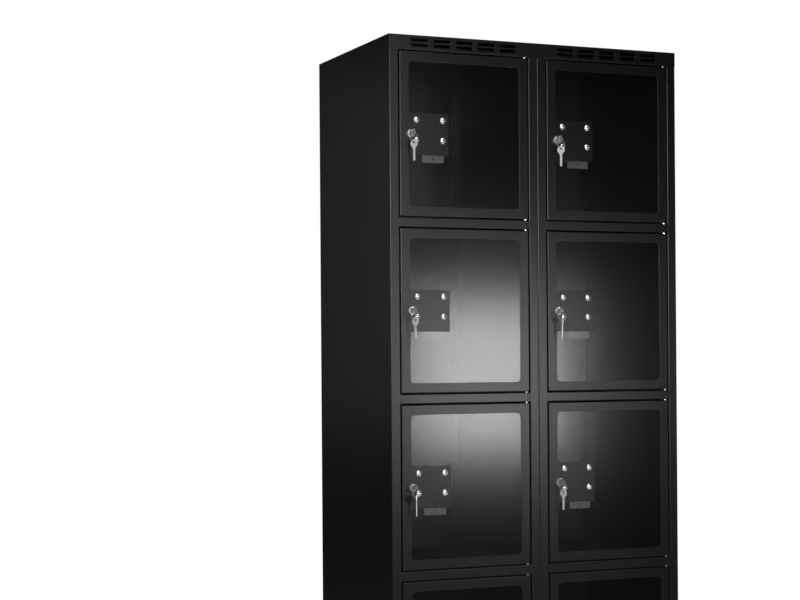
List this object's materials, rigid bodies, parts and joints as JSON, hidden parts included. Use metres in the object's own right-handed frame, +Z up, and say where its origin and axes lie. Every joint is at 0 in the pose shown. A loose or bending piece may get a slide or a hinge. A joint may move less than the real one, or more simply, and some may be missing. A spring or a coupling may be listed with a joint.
{
  "type": "customer locker",
  "caption": "Tall black steel locker with two columns of hinged see-through doors, each with a tab-mounted key lock.",
  "frame": {"origin": "on the floor, below the middle of the whole object, keys included", "axes": "+Z up, -Y towards the doors, +X to the right as seen from the front"},
  "size_m": [0.8, 0.532, 1.8],
  "materials": {
    "carcass_paint": "satin black powder coat",
    "door_paint": "satin black powder coat",
    "lock_paint": "satin dark grey paint",
    "clear_panel": "clear polished plastic sheet",
    "bright_steel": "bright nickel plate",
    "key_steel": "nickel plate, worn",
    "zinc_steel": "zinc plate",
    "buffer_rubber": "matt"
  },
  "bodies": {
    "cabinet": {"left_side_panel": "carcass_paint", "right_side_panel": "carcass_paint", "left_partition": "carcass_paint", "right_partition": "carcass_paint", "top_panel": "carcass_paint", "base_panel": "carcass_paint", "back_panel": "carcass_paint", "left_shelves": "carcass_paint", "right_shelves": "carcass_paint", "levelling_feet": "zinc_steel", "hinge_pins": "bright_steel", "door_buffers": "buffer_rubber"},
    "door_left_1": {"door_frame_left_1": "door_paint", "door_window_left_1": "clear_panel", "lock_case_left_1": "lock_paint", "lock_bezel_bolts_left_1": "bright_steel"},
    "lock_left_1": {"lock_plug_left_1": "bright_steel"},
    "key_left_1": {"spare_key_left_1": "key_steel"},
    "door_left_2": {"door_frame_left_2": "door_paint", "door_window_left_2": "clear_panel", "lock_case_left_2": "lock_paint", "lock_bezel_bolts_left_2": "bright_steel"},
    "lock_left_2": {"lock_plug_left_2": "bright_steel"},
    "key_left_2": {"spare_key_left_2": "key_steel"},
    "door_left_3": {"door_frame_left_3": "door_paint", "door_window_left_3": "clear_panel", "lock_case_left_3": "lock_paint", "lock_bezel_bolts_left_3": "bright_steel"},
    "lock_left_3": {"lock_plug_left_3": "bright_steel"},
    "key_left_3": {"spare_key_left_3": "key_steel"},
    "door_left_4": {"door_frame_left_4": "door_paint", "door_window_left_4": "clear_panel", "lock_case_left_4": "lock_paint", "lock_bezel_bolts_left_4": "bright_steel"},
    "lock_left_4": {"lock_plug_left_4": "bright_steel"},
    "key_left_4": {"spare_key_left_4": "key_steel"},
    "door_right_1": {"door_frame_right_1": "door_paint", "door_window_right_1": "clear_panel", "lock_case_right_1": "lock_paint", "lock_bezel_bolts_right_1": "bright_steel"},
    "lock_right_1": {"lock_plug_right_1": "bright_steel"},
    "key_right_1": {"spare_key_right_1": "key_steel"},
    "door_right_2": {"door_frame_right_2": "door_paint", "door_window_right_2": "clear_panel", "lock_case_right_2": "lock_paint", "lock_bezel_bolts_right_2": "bright_steel"},
    "lock_right_2": {"lock_plug_right_2": "bright_steel"},
    "key_right_2": {"spare_key_right_2": "key_steel"},
    "door_right_3": {"door_frame_right_3": "door_paint", "door_window_right_3": "clear_panel", "lock_case_right_3": "lock_paint", "lock_bezel_bolts_right_3": "bright_steel"},
    "lock_right_3": {"lock_plug_right_3": "bright_steel"},
    "key_right_3": {"spare_key_right_3": "key_steel"},
    "door_right_4": {"door_frame_right_4": "door_paint", "door_window_right_4": "clear_panel", "lock_case_right_4": "lock_paint", "lock_bezel_bolts_right_4": "bright_steel"},
    "lock_right_4": {"lock_plug_right_4": "bright_steel"},
    "key_right_4": {"spare_key_right_4": "key_steel"}
  },
  "joints": [
    {"name": "door_left_1_hinge", "type": "hinge", "parent": "cabinet", "child": "door_left_1", "pos_m": [-0.0325, -0.22801, 1.355], "axis": [0, 0, 1], "range_deg": [0, 105]},
    {"name": "lock_left_1_turn", "type": "hinge", "parent": "door_left_1", "child": "lock_left_1", "pos_m": [-0.345, -0.234, 1.559], "axis": [0, 1, 0], "range_deg": [0, 90]},
    {"name": "key_left_1_hang", "type": "hinge", "parent": "lock_left_1", "child": "key_left_1", "pos_m": [-0.345, -0.256, 1.5471], "axis": [0, 1, 0], "range_deg": [-90, 0]},
    {"name": "door_left_2_hinge", "type": "hinge", "parent": "cabinet", "child": "door_left_2", "pos_m": [-0.0325, -0.22801, 0.924], "axis": [0, 0, 1], "range_deg": [0, 105]},
    {"name": "lock_left_2_turn", "type": "hinge", "parent": "door_left_2", "child": "lock_left_2", "pos_m": [-0.345, -0.234, 1.128], "axis": [0, 1, 0], "range_deg": [0, 90]},
    {"name": "key_left_2_hang", "type": "hinge", "parent": "lock_left_2", "child": "key_left_2", "pos_m": [-0.345, -0.256, 1.1161], "axis": [0, 1, 0], "range_deg": [-90, 0]},
    {"name": "door_left_3_hinge", "type": "hinge", "parent": "cabinet", "child": "door_left_3", "pos_m": [-0.0325, -0.22801, 0.493], "axis": [0, 0, 1], "range_deg": [0, 105]},
    {"name": "lock_left_3_turn", "type": "hinge", "parent": "door_left_3", "child": "lock_left_3", "pos_m": [-0.345, -0.234, 0.697], "axis": [0, 1, 0], "range_deg": [0, 90]},
    {"name": "key_left_3_hang", "type": "hinge", "parent": "lock_left_3", "child": "key_left_3", "pos_m": [-0.345, -0.256, 0.6851], "axis": [0, 1, 0], "range_deg": [-90, 0]},
    {"name": "door_left_4_hinge", "type": "hinge", "parent": "cabinet", "child": "door_left_4", "pos_m": [-0.0325, -0.22801, 0.062], "axis": [0, 0, 1], "range_deg": [0, 105]},
    {"name": "lock_left_4_turn", "type": "hinge", "parent": "door_left_4", "child": "lock_left_4", "pos_m": [-0.345, -0.234, 0.266], "axis": [0, 1, 0], "range_deg": [0, 90]},
    {"name": "key_left_4_hang", "type": "hinge", "parent": "lock_left_4", "child": "key_left_4", "pos_m": [-0.345, -0.256, 0.2541], "axis": [0, 1, 0], "range_deg": [-90, 0]},
    {"name": "door_right_1_hinge", "type": "hinge", "parent": "cabinet", "child": "door_right_1", "pos_m": [0.3675, -0.22801, 1.355], "axis": [0, 0, 1], "range_deg": [0, 105]},
    {"name": "lock_right_1_turn", "type": "hinge", "parent": "door_right_1", "child": "lock_right_1", "pos_m": [0.055, -0.234, 1.559], "axis": [0, 1, 0], "range_deg": [0, 90]},
    {"name": "key_right_1_hang", "type": "hinge", "parent": "lock_right_1", "child": "key_right_1", "pos_m": [0.055, -0.256, 1.5471], "axis": [0, 1, 0], "range_deg": [-90, 0]},
    {"name": "door_right_2_hinge", "type": "hinge", "parent": "cabinet", "child": "door_right_2", "pos_m": [0.3675, -0.22801, 0.924], "axis": [0, 0, 1], "range_deg": [0, 105]},
    {"name": "lock_right_2_turn", "type": "hinge", "parent": "door_right_2", "child": "lock_right_2", "pos_m": [0.055, -0.234, 1.128], "axis": [0, 1, 0], "range_deg": [0, 90]},
    {"name": "key_right_2_hang", "type": "hinge", "parent": "lock_right_2", "child": "key_right_2", "pos_m": [0.055, -0.256, 1.1161], "axis": [0, 1, 0], "range_deg": [-90, 0]},
    {"name": "door_right_3_hinge", "type": "hinge", "parent": "cabinet", "child": "door_right_3", "pos_m": [0.3675, -0.22801, 0.493], "axis": [0, 0, 1], "range_deg": [0, 105]},
    {"name": "lock_right_3_turn", "type": "hinge", "parent": "door_right_3", "child": "lock_right_3", "pos_m": [0.055, -0.234, 0.697], "axis": [0, 1, 0], "range_deg": [0, 90]},
    {"name": "key_right_3_hang", "type": "hinge", "parent": "lock_right_3", "child": "key_right_3", "pos_m": [0.055, -0.256, 0.6851], "axis": [0, 1, 0], "range_deg": [-90, 0]},
    {"name": "door_right_4_hinge", "type": "hinge", "parent": "cabinet", "child": "door_right_4", "pos_m": [0.3675, -0.22801, 0.062], "axis": [0, 0, 1], "range_deg": [0, 105]},
    {"name": "lock_right_4_turn", "type": "hinge", "parent": "door_right_4", "child": "lock_right_4", "pos_m": [0.055, -0.234, 0.266], "axis": [0, 1, 0], "range_deg": [0, 90]},
    {"name": "key_right_4_hang", "type": "hinge", "parent": "lock_right_4", "child": "key_right_4", "pos_m": [0.055, -0.256, 0.2541], "axis": [0, 1, 0], "range_deg": [-90, 0]}
  ],
  "couplings": [
    {"joint": "key_left_1_hang", "follows": "lock_left_1_turn", "ratio": -1},
    {"joint": "key_left_2_hang", "follows": "lock_left_2_turn", "ratio": -1},
    {"joint": "key_left_3_hang", "follows": "lock_left_3_turn", "ratio": -1},
    {"joint": "key_left_4_hang", "follows": "lock_left_4_turn", "ratio": -1},
    {"joint": "key_right_1_hang", "follows": "lock_right_1_turn", "ratio": -1},
    {"joint": "key_right_2_hang", "follows": "lock_right_2_turn", "ratio": -1},
    {"joint": "key_right_3_hang", "follows": "lock_right_3_turn", "ratio": -1},
    {"joint": "key_right_4_hang", "follows": "lock_right_4_turn", "ratio": -1}
  ]
}
